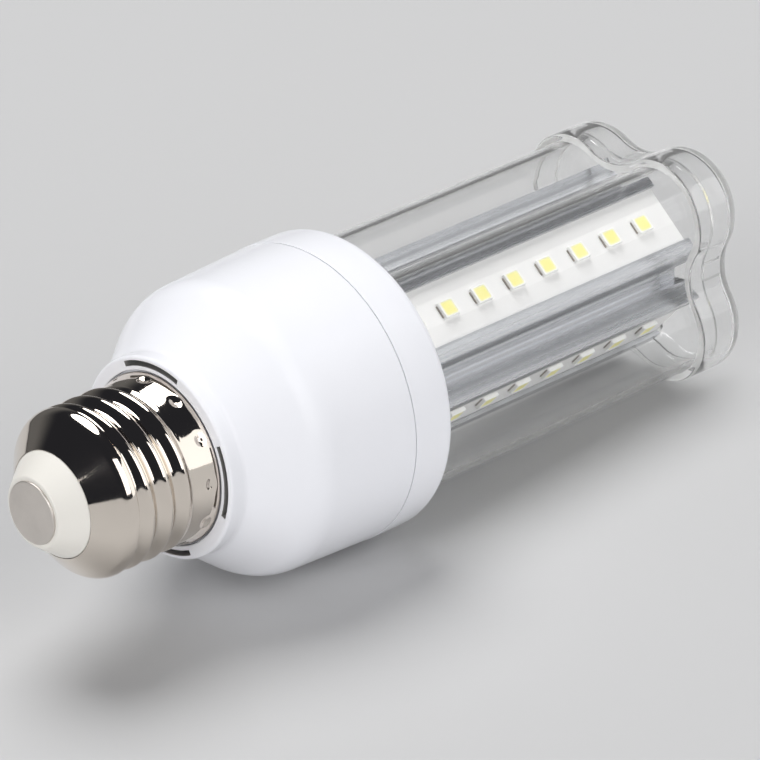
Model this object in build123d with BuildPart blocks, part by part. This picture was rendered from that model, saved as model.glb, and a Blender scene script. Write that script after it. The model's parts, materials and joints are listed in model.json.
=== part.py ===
from build123d import *
import os
from math import atan2, cos, degrees, radians, sin, sqrt, tan

# A light bulb with a screw base, a white driver housing and a clear four-lobed tube over four
# rows of light chips. It lies on its side: the rim of the housing's lid and two lobes of the
# end cap touch the floor, so the axis dips a little towards the cap.
# Stations are distances along the axis from the face of the centre contact, in millimetres.

os.makedirs("parts", exist_ok=True)

# Clearances
fit_gap = 0.1
lead_gap = 0.2

# Centre contact and insulator
contact_radius = 4.9
contact_thickness = 0.35
rivet_radius = 1.5
rivet_length = 4.8
nose_radius = 5.5
insulator_flange = 3.0
insulator_lap = 1.2

# Screw shell, made to the crests of its thread
shell_sheet = 0.4
shell_lip_station = 4.05
shell_lip_radius = 8.4
shell_shoulder = 4.05
thread_radius = 13.15
skirt_start = 21.7
skirt_radius = 12.8
spigot_length = 2.4

# Driver housing
neck_face = 24.8
collar_width = 3.1
vent_inset = 0.7
vent_width = 0.8
vent_span = 45.0
vent_count = 4
shoulder_corner_station = 38.05
shoulder_corner_radius = 23.815
shoulder_angle = 37.0
shoulder_chamfer = 2.5
vent_depth = 4.0
neck_wall = 1.8
housing_wall = 3.0
cavity_reach = 0.35
parting_station = 54.9

# Lid with a socket for the tube and clips for the driver board
lid_step = 0.05
lid_height = 8.2
lid_rim = 1.2
socket_floor_thickness = 1.7
rib_height = 1.6
rib_width = 2.0
clip_width = 6.0
clip_thickness = 1.6
clip_hook = 0.8
clip_nose = 1.2

# Driver board and the parts on it
driver_board_margin = 2.3
driver_board_depth = 26.0
driver_board_thickness = 1.6
capacitor_radius = 5.0
capacitor_length = 12.5
capacitor_place = (0.0, 7.5)
core_size = (9.0, 10.0, 9.0)
coil_size = (12.0, 6.5, 6.0)
inductor_place = (0.0, -7.5)
film_size = (6.0, 9.0, 9.0)
film_place = (10.5, 7.0)
rectifier_size = (5.0, 6.5, 2.6)
rectifier_place = (-11.0, -6.0)
chip_size = (5.0, 4.0, 1.5)
chip_place = (10.5, -8.0)
resistor_radius = 1.8
resistor_length = 9.0
resistor_place = (-10.0, 6.0)

# Clear tube and end cap: lobes at one distance from the axis, joined by hollow valleys
lobe_count = 4
lobe_distance = 13.0
lobe_radius = 8.0
valley_distance = 14.6
tube_wall = 1.0
tube_reach = 63.9
cap_wall = 1.2
cap_overlap = 4.0
cap_depth = 5.5
cap_end_wall = 1.3
stop_width = 3.0

# Heat sink, boards and light chips
seat_distance = 11.1
rail_height = 1.8
rail_thickness = 1.4
rail_hook = 0.5
sink_wall = 1.5
valley_floor_drop = 1.7
sink_end_gap = 0.8
groove_width = 0.5
groove_cut = 0.35
groove_pitch = 1.0
grooves_per_valley = 3
valley_wall = 3.6
notch_length = 6.0
notch_width = 3.2
notch_depth = 2.6
board_width = 11.0
board_thickness = 1.0
board_foot_gap = 0.9
board_end_gap = 0.3
led_length = 3.5
led_width = 2.8
led_height = 0.75
led_count = 8
led_end_margin = 6.1
led_foot_margin = 12.4

# Leads
lead_radius = 0.6
neutral_lead_distance = 9.0
ribbon_width = 4.0
ribbon_thickness = 0.8
ribbon_lap = 5.4

# Stations and radii that follow from the sizes above
shell_slope = (thread_radius - shell_lip_radius) / shell_shoulder
shell_lip_inside = shell_lip_station + shell_sheet * sqrt(1 + 1 / shell_slope**2)
skirt_inside = skirt_radius - shell_sheet
spigot_radius = skirt_inside - fit_gap / 2
spigot_bore = spigot_radius - neck_wall
spigot_tip = neck_face - spigot_length
collar_radius = skirt_radius + collar_width
cone_slope = tan(radians(shoulder_angle))
cone_start = shoulder_corner_station - (shoulder_corner_radius - collar_radius) / cone_slope
cavity_radius = shoulder_corner_radius - housing_wall
cavity_floor = shoulder_corner_station - cavity_reach
lid_radius = shoulder_corner_radius + lid_step
lid_top = parting_station + lid_height
socket_floor = parting_station + socket_floor_thickness
driver_board_top = parting_station - rib_height
driver_board_face = driver_board_top - driver_board_thickness
tube_end = lid_top + tube_reach
cap_start = tube_end - cap_overlap
cap_end = tube_end + cap_depth
cap_grow = fit_gap + cap_wall
sink_end = tube_end - sink_end_gap
board_start = socket_floor + board_foot_gap
board_end = sink_end - board_end_gap
board_top = seat_distance + board_thickness
rib_place = (board_top + ribbon_thickness + ribbon_width / 2) / sqrt(2) + lead_gap + rib_width / 2
driver_board_width = 2 * (rib_place + rib_width / 2 + driver_board_margin)
rail_top = seat_distance + rail_height
rail_inner = board_width / 2 + fit_gap
rail_outer = rail_inner + rail_thickness
web_distance = seat_distance - valley_floor_drop
valley_floor = (web_distance + rail_outer) / sqrt(2)
hollow_seat = seat_distance - sink_wall
hollow_half = (valley_floor - valley_wall) * sqrt(2) - hollow_seat
led_first = board_start + led_foot_margin
led_pitch = (board_end - led_end_margin - led_first) / (led_count - 1)

# Rest: the lid's rim and the two lower lobes of the cap touch the floor at height zero
cap_foot_radius = lobe_distance / sqrt(2) + lobe_radius + cap_grow
rim_station = lid_top - lid_rim
dip = atan2(lid_radius - cap_foot_radius, cap_end - rim_station)
axis_height = rim_station * sin(dip) + lid_radius * cos(dip)
nose_reach = -contact_radius * sin(dip)
end_reach = cap_end * cos(dip) + cap_foot_radius * sin(dip)
axis_dir = Vector(cos(dip), 0, -sin(dip))
nose = Vector(-(nose_reach + end_reach) / 2, 0, axis_height)
bulb_axis = Axis(nose, axis_dir)

# Profiles of turned pieces: x is the station, y the radius
profile_plane = Plane(origin=nose, x_dir=axis_dir, z_dir=(0, -1, 0))

side_angles = [45 + 360 / lobe_count * side for side in range(lobe_count)]


def station(distance):
    """Cross-section plane at a station: x points to +Y, y points up."""
    return Plane(origin=nose + axis_dir * distance, x_dir=(0, 1, 0), z_dir=axis_dir)


def side_plane(angle, distance, height):
    """Plane on one flat side: x runs along the axis, z points out, at a height above the axis."""
    section = station(distance)
    outward = section.x_dir * cos(radians(angle)) + section.y_dir * sin(radians(angle))
    return Plane(origin=section.origin + outward * height, x_dir=axis_dir, z_dir=outward)


def side_point(angle, height, across):
    """Section point at a height above the axis and a distance across one side."""
    turn = radians(angle)
    return (height * cos(turn) - across * sin(turn), height * sin(turn) + across * cos(turn))


def lobed_outline(grow):
    """Face of four round lobes joined by hollow valleys, moved outwards by grow."""
    half = lobe_distance / sqrt(2)
    rise = valley_distance - half
    valley_radius = (half**2 + rise**2 - lobe_radius**2) / (2 * (lobe_radius - rise))
    valley_centre = (valley_distance + valley_radius) / sqrt(2)
    lean = degrees(atan2(valley_centre, valley_centre - lobe_distance))
    with BuildSketch() as outline:
        with BuildLine():
            for angle in side_angles:
                lobe_centre = side_point(angle, lobe_distance, 0)
                hollow_centre = side_point(angle, valley_centre, valley_centre)
                CenterArc(lobe_centre, lobe_radius + grow, angle - lean, 2 * lean)
                CenterArc(hollow_centre, valley_radius - grow, angle + lean + 180, 90 - 2 * lean)
        make_face()
    return outline.sketch


# Centre contact: a flat disc with a rivet stem
with BuildPart() as centre_contact:
    with BuildSketch(station(0)):
        Circle(contact_radius)
    extrude(amount=contact_thickness)
    with BuildSketch(station(contact_thickness)):
        Circle(rivet_radius)
    extrude(amount=rivet_length)
centre_contact.part.label = "centre_contact"
export_step(centre_contact.part, "parts/centre_contact.step")

# Insulator: a cone in front of the shell's lip and a flange that bears on the inside of its shoulder
with BuildPart() as base_insulator:
    edge_radius = shell_lip_radius - fit_gap
    edge_end = shell_lip_inside - fit_gap / shell_slope
    flange_start = shell_lip_inside + insulator_lap / shell_slope
    flange_end = shell_lip_station + shell_sheet + insulator_flange
    with BuildSketch(profile_plane):
        with BuildLine():
            Polyline(
                (contact_thickness, rivet_radius + fit_gap),
                (contact_thickness, nose_radius),
                (shell_lip_station, edge_radius),
                (edge_end, edge_radius),
                (flange_start, shell_lip_radius + insulator_lap),
                (flange_end, shell_lip_radius + insulator_lap),
                (flange_end, rivet_radius + fit_gap),
                close=True,
            )
        make_face()
    revolve(axis=bulb_axis)
base_insulator.part.label = "base_insulator"
export_step(base_insulator.part, "parts/base_insulator.step")

# Screw shell: a conical shoulder round the insulator, the threaded length and a plain skirt
with BuildPart() as screw_shell:
    with BuildSketch(profile_plane):
        with BuildLine():
            Polyline(
                (shell_lip_station, shell_lip_radius),
                (shell_lip_station + shell_shoulder, thread_radius),
                (skirt_start, thread_radius),
                (skirt_start, skirt_radius),
                (neck_face, skirt_radius),
                (neck_face, skirt_inside),
                (shell_lip_inside + (skirt_inside - shell_lip_radius) / shell_slope, skirt_inside),
                (shell_lip_inside, shell_lip_radius),
                close=True,
            )
        make_face()
    revolve(axis=bulb_axis)
screw_shell.part.label = "screw_shell"
export_step(screw_shell.part, "parts/screw_shell.step")

# Driver housing: spigot inside the shell's skirt, vented neck, conical shoulder, round body
with BuildPart() as driver_housing:
    with BuildSketch(profile_plane) as housing_profile:
        with BuildLine():
            Polyline(
                (spigot_tip, spigot_bore),
                (spigot_tip, spigot_radius),
                (neck_face, spigot_radius),
                (neck_face, collar_radius),
                (cone_start, collar_radius),
                (shoulder_corner_station, shoulder_corner_radius),
                (parting_station, shoulder_corner_radius),
                (parting_station, cavity_radius),
                (cavity_floor, cavity_radius),
                (cavity_floor, spigot_bore),
                close=True,
            )
        make_face()
        shoulder_corner = Vector(shoulder_corner_station, shoulder_corner_radius)
        chamfer(housing_profile.vertices().sort_by_distance(shoulder_corner)[0], length=shoulder_chamfer)
    revolve(axis=bulb_axis)
    vent_outer = collar_radius - vent_inset
    vent_inner = vent_outer - vent_width
    with BuildSketch(station(neck_face)):
        with PolarLocations(0, vent_count, start_angle=-vent_span / 2):
            with BuildLine():
                inside = CenterArc((0, 0), vent_inner, 0, vent_span)
                outside = CenterArc((0, 0), vent_outer, 0, vent_span)
                Line(inside @ 0, outside @ 0)
                Line(inside @ 1, outside @ 1)
            make_face()
    extrude(amount=vent_depth, mode=Mode.SUBTRACT)
driver_housing.part.label = "driver_housing"
export_step(driver_housing.part, "parts/driver_housing.step")

# Lid: ring with a lobed socket for the tube, slots for the board leads, ribs and clips below
with BuildPart() as housing_lid:
    clip_place = driver_board_width / 2 + fit_gap + clip_thickness / 2
    clip_reach = rib_height + driver_board_thickness + fit_gap + clip_nose
    with BuildSketch(station(parting_station)):
        Circle(lid_radius)
    extrude(amount=lid_height)
    chamfer(housing_lid.edges().filter_by(GeomType.CIRCLE).sort_by(bulb_axis)[-1], length=lid_rim)
    with BuildSketch(station(socket_floor)):
        add(lobed_outline(fit_gap))
    extrude(amount=lid_top - socket_floor, mode=Mode.SUBTRACT)
    with BuildSketch(station(parting_station)):
        with GridLocations(2 * rib_place, 0, 2, 1):
            Rectangle(rib_width, driver_board_depth)
    extrude(amount=-rib_height)
    with BuildSketch(station(parting_station)):
        with GridLocations(2 * clip_place, 0, 2, 1):
            Rectangle(clip_thickness, clip_width)
    extrude(amount=-clip_reach)
    with BuildSketch(station(parting_station - clip_reach)):
        with GridLocations(2 * clip_place - clip_hook, 0, 2, 1):
            Rectangle(clip_thickness + clip_hook, clip_width)
    extrude(amount=clip_nose)
    with BuildSketch(station(parting_station)):
        with PolarLocations(board_top + ribbon_thickness / 2, lobe_count, start_angle=side_angles[0]):
            Rectangle(ribbon_thickness + 2 * lead_gap, ribbon_width + 2 * lead_gap)
    extrude(amount=socket_floor_thickness, mode=Mode.SUBTRACT)
housing_lid.part.label = "housing_lid"
export_step(housing_lid.part, "parts/housing_lid.step")

# Clear tube
with BuildPart() as clear_tube:
    with BuildSketch(station(socket_floor)):
        add(lobed_outline(0))
        add(lobed_outline(-tube_wall), mode=Mode.SUBTRACT)
    extrude(amount=tube_end - socket_floor)
clear_tube.part.label = "clear_tube"
export_step(clear_tube.part, "parts/clear_tube.step")

# End cap: a cup over the tube's end, with a stop in each valley that the tube meets
with BuildPart() as end_cap:
    with BuildSketch(station(cap_start)):
        add(lobed_outline(cap_grow))
    extrude(amount=cap_end - cap_start)
    with BuildSketch(station(cap_start)):
        add(lobed_outline(fit_gap))
    extrude(amount=cap_end - cap_end_wall - cap_start, mode=Mode.SUBTRACT)
    with BuildSketch(station(tube_end)):
        with PolarLocations(valley_distance + (cap_grow - tube_wall) / 2, lobe_count):
            Rectangle(cap_grow + tube_wall, stop_width)
    extrude(amount=cap_depth - cap_end_wall)
end_cap.part.label = "end_cap"
export_step(end_cap.part, "parts/end_cap.step")

# Heat sink: a hollow extrusion with four seats, hooked rails and grooved valleys
with BuildPart() as heat_sink:
    core = [(web_distance, -rail_outer), (seat_distance, -rail_outer)]
    core += [(seat_distance, rail_outer), (web_distance, rail_outer)]
    hollow = [(hollow_seat, -hollow_half), (hollow_seat, hollow_half)]
    hook_inner = rail_inner - rail_hook - fit_gap
    hook_bottom = board_top + fit_gap
    with BuildSketch(station(socket_floor)):
        with BuildLine():
            Polyline(*[side_point(angle, *corner) for angle in side_angles for corner in core], close=True)
        make_face()
        with PolarLocations(seat_distance + rail_height / 2, lobe_count, start_angle=side_angles[0]):
            with GridLocations(0, rail_inner + rail_outer, 1, 2):
                Rectangle(rail_height, rail_thickness)
        with PolarLocations((hook_bottom + rail_top) / 2, lobe_count, start_angle=side_angles[0]):
            with GridLocations(0, hook_inner + rail_outer, 1, 2):
                Rectangle(rail_top - hook_bottom, rail_outer - hook_inner)
        with BuildLine():
            Polyline(*[side_point(angle, *corner) for angle in side_angles for corner in hollow], close=True)
        make_face(mode=Mode.SUBTRACT)
        with PolarLocations(valley_floor, lobe_count):
            with GridLocations(0, groove_pitch, 1, grooves_per_valley):
                Rectangle(2 * groove_cut, groove_width, mode=Mode.SUBTRACT)
    extrude(amount=sink_end - socket_floor)
    with BuildSketch(station(sink_end - notch_length)):
        with PolarLocations(valley_floor, lobe_count):
            Rectangle(2 * notch_depth, notch_width)
    extrude(amount=notch_length, mode=Mode.SUBTRACT)
heat_sink.part.label = "heat_sink"
export_step(heat_sink.part, "parts/heat_sink.step")

# Boards with their light chips and flat leads, one set on each side
for row, angle in enumerate(side_angles, 1):
    board_length = board_end - board_start
    with BuildPart() as led_board:
        with BuildSketch(side_plane(angle, board_start + board_length / 2, seat_distance)):
            Rectangle(board_length, board_width)
        extrude(amount=board_thickness)
    led_board.part.label = f"led_board_{row}"
    export_step(led_board.part, f"parts/led_board_{row}.step")

    for place in range(1, led_count + 1):
        led_station = led_first + (place - 1) * led_pitch
        with BuildPart() as led:
            with BuildSketch(side_plane(angle, led_station, board_top)):
                Rectangle(led_length, led_width)
            extrude(amount=led_height)
        led.part.label = f"led_{row}_{place}"
        export_step(led.part, f"parts/led_{row}_{place}.step")

    with BuildPart() as board_leads:
        with BuildSketch(station(driver_board_top)):
            with PolarLocations(board_top + ribbon_thickness / 2, 1, start_angle=angle):
                Rectangle(ribbon_thickness, ribbon_width)
        extrude(amount=board_start + ribbon_lap - driver_board_top)
    board_leads.part.label = f"board_leads_{row}"
    export_step(board_leads.part, f"parts/board_leads_{row}.step")

# Driver board: held between the lid's ribs and clips
with BuildPart() as driver_board:
    with BuildSketch(station(driver_board_face)):
        Rectangle(driver_board_width, driver_board_depth)
    extrude(amount=driver_board_thickness)
driver_board.part.label = "driver_board"
export_step(driver_board.part, "parts/driver_board.step")

# Parts that stand on the board's lower face, towards the screw base
with BuildPart() as input_capacitor:
    with BuildSketch(station(driver_board_face)):
        with Locations(capacitor_place):
            Circle(capacitor_radius)
    extrude(amount=-capacitor_length)
input_capacitor.part.label = "input_capacitor"
export_step(input_capacitor.part, "parts/input_capacitor.step")

with BuildPart() as power_inductor:
    core_width, core_depth, core_height = core_size
    coil_width, coil_depth, coil_height = coil_size
    with BuildSketch(station(driver_board_face)):
        with Locations(inductor_place):
            Rectangle(core_width, core_depth)
    extrude(amount=-core_height)
    with BuildSketch(station(driver_board_face - (core_height - coil_height) / 2)):
        with Locations(inductor_place):
            Rectangle(coil_width, coil_depth)
    extrude(amount=-coil_height)
power_inductor.part.label = "power_inductor"
export_step(power_inductor.part, "parts/power_inductor.step")

box_parts = {
    "film_capacitor": (film_size, film_place),
    "bridge_rectifier": (rectifier_size, rectifier_place),
    "driver_chip": (chip_size, chip_place),
}
for name, (size, place) in box_parts.items():
    width, depth, height = size
    with BuildPart() as box_part:
        with BuildSketch(station(driver_board_face)):
            with Locations(place):
                Rectangle(width, depth)
        extrude(amount=-height)
    box_part.part.label = name
    export_step(box_part.part, f"parts/{name}.step")

with BuildPart() as fuse_resistor:
    across, up = resistor_place
    resistor_section = station(driver_board_face - resistor_radius)
    resistor_foot = resistor_section.from_local_coords((across, up - resistor_length / 2, 0))
    with BuildSketch(Plane(origin=resistor_foot, x_dir=axis_dir, z_dir=resistor_section.y_dir)):
        Circle(resistor_radius)
    extrude(amount=resistor_length)
fuse_resistor.part.label = "fuse_resistor"
export_step(fuse_resistor.part, "parts/fuse_resistor.step")

# Live lead: straight from the contact's rivet to the driver board
with BuildPart() as live_lead:
    rivet_end = contact_thickness + rivet_length
    with BuildSketch(station(rivet_end)):
        Circle(lead_radius)
    extrude(amount=driver_board_face - rivet_end)
live_lead.part.label = "live_lead"
export_step(live_lead.part, "parts/live_lead.step")

# Neutral lead: down the neck, then out to the inside of the shell in front of the spigot
with BuildPart() as neutral_lead:
    turn_station = spigot_tip - lead_radius - fit_gap
    shell_contact = sqrt(skirt_inside**2 - lead_radius**2)
    lead_plane = Plane(origin=nose, x_dir=axis_dir, z_dir=station(0).y_dir)
    with BuildLine(lead_plane) as neutral_route:
        Polyline(
            (driver_board_face, -neutral_lead_distance),
            (turn_station, -neutral_lead_distance),
            (turn_station, -shell_contact),
        )
    with BuildSketch(neutral_route.line ^ 0):
        Circle(lead_radius)
    sweep(transition=Transition.RIGHT)
neutral_lead.part.label = "neutral_lead"
export_step(neutral_lead.part, "parts/neutral_lead.step")
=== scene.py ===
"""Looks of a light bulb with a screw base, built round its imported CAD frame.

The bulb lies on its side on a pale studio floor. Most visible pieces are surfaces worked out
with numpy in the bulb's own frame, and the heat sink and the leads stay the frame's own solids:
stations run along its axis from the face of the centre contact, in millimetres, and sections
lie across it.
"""

from __future__ import annotations

import json
import logging
import math
from dataclasses import dataclass, field, replace
from enum import Enum
from typing import Any, Sequence

import bpy
import numpy as np
from mathutils import Matrix, Vector

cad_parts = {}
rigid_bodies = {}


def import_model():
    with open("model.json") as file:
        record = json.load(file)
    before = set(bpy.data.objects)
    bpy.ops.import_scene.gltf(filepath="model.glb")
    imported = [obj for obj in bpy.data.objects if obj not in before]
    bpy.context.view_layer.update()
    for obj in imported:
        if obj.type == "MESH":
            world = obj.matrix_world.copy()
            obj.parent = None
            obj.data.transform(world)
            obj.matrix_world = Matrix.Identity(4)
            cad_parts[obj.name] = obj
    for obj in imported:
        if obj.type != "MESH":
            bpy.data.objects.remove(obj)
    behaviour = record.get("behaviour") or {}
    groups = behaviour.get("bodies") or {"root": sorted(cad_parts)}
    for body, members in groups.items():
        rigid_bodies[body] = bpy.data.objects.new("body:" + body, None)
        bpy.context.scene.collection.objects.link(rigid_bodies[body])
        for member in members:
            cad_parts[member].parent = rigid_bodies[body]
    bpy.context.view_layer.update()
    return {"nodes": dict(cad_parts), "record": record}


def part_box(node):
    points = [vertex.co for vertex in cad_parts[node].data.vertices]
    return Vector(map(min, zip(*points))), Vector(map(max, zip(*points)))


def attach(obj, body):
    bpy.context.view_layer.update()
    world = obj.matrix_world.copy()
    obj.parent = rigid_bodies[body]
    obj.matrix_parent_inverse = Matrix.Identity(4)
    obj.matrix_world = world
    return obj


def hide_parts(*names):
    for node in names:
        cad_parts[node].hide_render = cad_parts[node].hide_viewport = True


LOG = logging.getLogger("bulb")
MM = 0.001
QUARTER_TURN = math.pi / 2
FULL_TURN = 2 * math.pi
TINY = 1e-6
BODY = "root"

Pair = tuple[float, float]
Triple = tuple[float, float, float]
Path = tuple[Triple, ...]
Array = np.ndarray
Object = bpy.types.Object
Material = bpy.types.Material
Tree = bpy.types.NodeTree
Socket = bpy.types.NodeSocket


class Slot(Enum):
    """Material slots of the record that the pieces belong to."""

    CONTACT = "contact_nickel"
    INSULATOR = "insulator_cream"
    SHELL = "shell_nickel"
    HOUSING = "housing_white"
    CLEAR = "clear_plastic"
    STRIP = "strip_white"
    CHIP = "chip_phosphor"


class Edge(Enum):
    """Angle between faces, in degrees, above which an edge stays sharp."""

    SOFT = 50.0
    CRISP = 28.0


# Frames, rings and grids


@dataclass(frozen=True)
class Axis:
    """An origin in millimetres and three directions: along, across and up, right-handed."""

    origin: Array
    along: Array
    across: Array
    up: Array

    @classmethod
    def of_bulb(cls, record: dict[str, Any]) -> Axis:
        """The bulb's axis, from the face of its centre contact towards the end cap.

        Args:
            record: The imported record, whose contact_face mount looks out of the contact.

        Returns:
            The axis with its origin on the contact's face.
        """
        mount = next(m for m in record["mounts"] if m["name"] == "contact_face")
        along = -np.array(mount["axis"], float)
        across = np.array((0.0, 1.0, 0.0))
        origin = np.array(mount["pos_m"], float) / MM
        return cls(origin, along, across, np.cross(along, across))

    def place(self, station: Array, flat: Array) -> Array:
        """Points in metres: origin plus station along the axis plus the two section offsets.

        Args:
            station: Distances along the axis, broadcast against the section points.
            flat: Section points, with across and up in the last dimension.

        Returns:
            Points with x, y and z in the last dimension.
        """
        reach = np.asarray(station, float)[..., None] * self.along
        section = flat[..., :1] * self.across + flat[..., 1:] * self.up
        return (self.origin + reach + section) * MM

    def turned(self, station: Array, radius: Array, turns: int) -> Array:
        """Points of a profile carried round the axis.

        Args:
            station: One for each row, or for each row and turn.
            radius: One for each row, or for each row and turn.
            turns: Points round the axis.

        Returns:
            The points in rows and turns.
        """
        outward = heading(np.linspace(0, FULL_TURN, turns, endpoint=False))
        flat = radius.reshape(len(radius), -1, 1) * outward
        return self.place(station.reshape(len(station), -1), flat)

    @property
    def dip(self) -> float:
        """Angle of the axis below the horizontal, in radians."""
        return math.asin(-float(self.along[2]))


def heading(angle: Array) -> Array:
    """Unit section directions at angles in radians, with the two offsets in the last dimension."""
    return np.stack((np.cos(angle), np.sin(angle)), axis=-1)


def off_middle(angle: Array, spacing: float) -> Array:
    """Angle from the nearest of evenly spaced middles, the first of them at zero."""
    return (angle + spacing / 2) % spacing - spacing / 2


def unit(rows: Array) -> Array:
    """Directions of vectors in the last dimension. A vector of no length stays as it is."""
    return rows / np.maximum(np.linalg.norm(rows, axis=-1, keepdims=True), TINY)


@dataclass(frozen=True)
class Ring:
    """A closed section outline: points and the outward normals that it grows along."""

    points: Array
    normals: Array

    def grown(self, grow: Array) -> Array:
        """Section points of the outline moved outwards, one row for each growth."""
        return self.points + grow.reshape(len(grow), -1, 1) * self.normals


@dataclass(frozen=True)
class Lobes:
    """Outside of the tube: four round lobes joined by hollow valleys. Sizes in millimetres.

    Attributes:
        distance: From the axis to a lobe's centre.
        radius: Of a lobe.
        valley: From the axis to the bottom of a valley.
        count: Of the lobes.
        steps: Points on a lobe; a valley has half as many.
    """

    distance: float = 13.0
    radius: float = 8.0
    valley: float = 14.6
    count: int = 4
    steps: int = 96

    def ring(self) -> Ring:
        """The outline, starting in the middle of the valley at angle zero.

        A lobe is an arc about a point at the lobe distance on a diagonal. A valley is an arc
        about a point outside the outline, tangent to both lobes beside it and passing at the
        valley distance. Arc by arc the point is the centre plus the radius times a direction
        that sweeps at an even rate, and the normals of a hollow arc look at its centre.

        Returns:
            The closed outline.
        """
        half = self.distance / math.sqrt(2)
        rise = self.valley - half
        hollow = (half**2 + rise**2 - self.radius**2) / (2 * (self.radius - rise))
        away = self.valley + hollow
        sweep = math.atan2(half, away - half)
        lobe_turn = QUARTER_TURN / 2 + sweep
        few = self.steps // 4
        arcs = (
            ((away, 0.0), -hollow, 0.0, -np.linspace(0, sweep, few, endpoint=False)),
            ((half, half), self.radius, QUARTER_TURN / 2,
             np.linspace(-lobe_turn, lobe_turn, self.steps, endpoint=False)),
            ((0.0, away), -hollow, QUARTER_TURN, np.linspace(sweep, 0, few, endpoint=False)),
        )
        normals = [heading(middle + turn) for _, _, middle, turn in arcs]
        points = [np.array(arc[0]) + arc[1] * normal for arc, normal in zip(arcs, normals)]
        cos, sin = heading(np.arange(self.count) * QUARTER_TURN).T
        spin = np.stack((cos, -sin, sin, cos), axis=-1).reshape(-1, 2, 2)
        every = [
            np.einsum("kab,nb->kna", spin, np.concatenate(part)).reshape(-1, 2)
            for part in (points, normals)]
        return Ring(*every)


def rounded_path(corners: Path, steps: int = 7) -> Array:
    """Open path through corners, each turned on an arc tangent to its two edges.

    The arc's centre lies on the corner's bisector at radius / sin(half angle), and the arc runs
    between the two tangent points by even turns. A corner of radius zero stays a point.

    Args:
        corners: Rows of x, y and radius. The first and last are end points.
        steps: Points on an arc.

    Returns:
        Rows of x and y without repeated points.
    """
    table = np.array(corners, float)
    middle, radius = table[1:-1, :2], table[1:-1, 2:]
    back, ahead = (unit(beside - middle) for beside in (table[:-2, :2], table[2:, :2]))
    half = np.arccos(np.clip((back * ahead).sum(-1, keepdims=True), -1, 1)) / 2
    half = np.clip(half, TINY, None)
    centre = middle + unit(back + ahead) * radius / np.sin(half)
    first, last = (middle + way * radius / np.tan(half) - centre for way in (back, ahead))
    turn = np.clip(math.pi - 2 * half, TINY, None)[:, None, :]
    part = np.linspace(0, 1, steps)[None, :, None]
    blend = np.sin((1 - part) * turn) * first[:, None] + np.sin(part * turn) * last[:, None]
    arcs = centre[:, None] + blend / np.sin(turn)
    arcs = np.where(radius[:, None] > 0, arcs, middle[:, None])
    path = np.concatenate((table[:1, :2], arcs.reshape(-1, 2), table[-1:, :2]))
    keep = np.ones(len(path), bool)
    keep[1:] = np.linalg.norm(np.diff(path, axis=0), axis=-1) > TINY
    return path[keep]


@dataclass
class Grid:
    """A surface as rows of points round an axis.

    Attributes:
        points: Array of rows, columns and x, y, z in metres.
        closed: Whether the last row joins the first, as on a ring-shaped piece.
        capped: Whether both end rows close on a middle point.
        finish: Number of the finish, or one number for each band between rows or for each face.
    """

    points: Array
    closed: bool = False
    capped: bool = False
    finish: int | Sequence[int] | Array = 0

    def faces(self, first: int) -> tuple[Array, Array, Array]:
        """Faces that look outwards when rows run from nose to rear on the outside.

        A quad joins a point to the next in its row and to the two below them. A cap is a fan
        from the middle point of an end row, which is stored after the grid's own points.

        Args:
            first: Number of the grid's first vertex.

        Returns:
            Quads, triangles, and the finish number of each in that order.
        """
        rows, columns = self.points.shape[:2]
        row = np.arange(rows if self.closed else rows - 1)[:, None]
        column = np.arange(columns)[None, :]
        beside = (column + 1) % columns
        here, below = row * columns, (row + 1) % rows * columns
        quads = np.stack((here + column, here + beside, below + beside, below + column), axis=-1)
        bands = np.asarray(self.finish)
        bands = bands[:, None] if bands.ndim == 1 else bands
        bands = np.broadcast_to(bands, (len(row), columns))
        marks = bands.reshape(-1)
        fans = np.zeros((0, 3), int)
        if self.capped:
            start, ahead = column[0], beside[0]
            end = (rows - 1) * columns
            pole = np.full(columns, rows * columns)
            front = np.stack((pole, ahead, start), axis=-1)
            rear = np.stack((end + start, end + ahead, pole + 1), axis=-1)
            fans = np.concatenate((front, rear))
            marks = np.concatenate((marks, bands[0], bands[-1]))
        return first + quads.reshape(-1, 4), first + fans, marks

    def vertices(self) -> Array:
        """Every vertex of the grid, with the middle points of its caps at the end.

        Returns:
            Rows of x, y and z in metres.
        """
        flat = self.points.reshape(-1, 3)
        if not self.capped:
            return flat
        return np.concatenate((flat, self.points[[0, -1]].mean(axis=1)))


def add_object(name: str, data: Any) -> Object:
    """Makes an object and links it to the scene.

    Args:
        name: Of the object.
        data: Mesh, lamp or camera that it shows.

    Returns:
        The object.
    """
    item = bpy.data.objects.new(name, data)
    bpy.context.scene.collection.objects.link(item)
    return item


def smooth_step(value: Array, low: float, high: float) -> Array:
    """Zero below low, one above high, with the curve 3t² - 2t³ between."""
    part = np.clip((value - low) / (high - low), 0, 1)
    return part * part * (3 - 2 * part)


def stack(axis: Axis, sizes: Any, rows: Path, steps: int = 5) -> Array:
    """Rounded rectangles stacked along an axis.

    Each point is a corner's centre plus the corner radius times a direction.

    Args:
        axis: That they are stacked along.
        sizes: Sizes across and up, one pair for all rows or one for each.
        rows: Station, how much smaller both sizes are, and corner radius.
        steps: Points on a corner.

    Returns:
        Points in metres, in rows.
    """
    station, less, corner = np.hsplit(np.array(rows), 3)
    half = (np.array(sizes) - less) / 2 - corner
    quarter = np.repeat(np.arange(4), steps) * QUARTER_TURN
    angle = quarter + np.tile(np.linspace(0, QUARTER_TURN, steps), 4)
    side = np.sign(heading(quarter + QUARTER_TURN / 2))
    return axis.place(station, side * half[:, None] + corner[:, None] * heading(angle))


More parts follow.
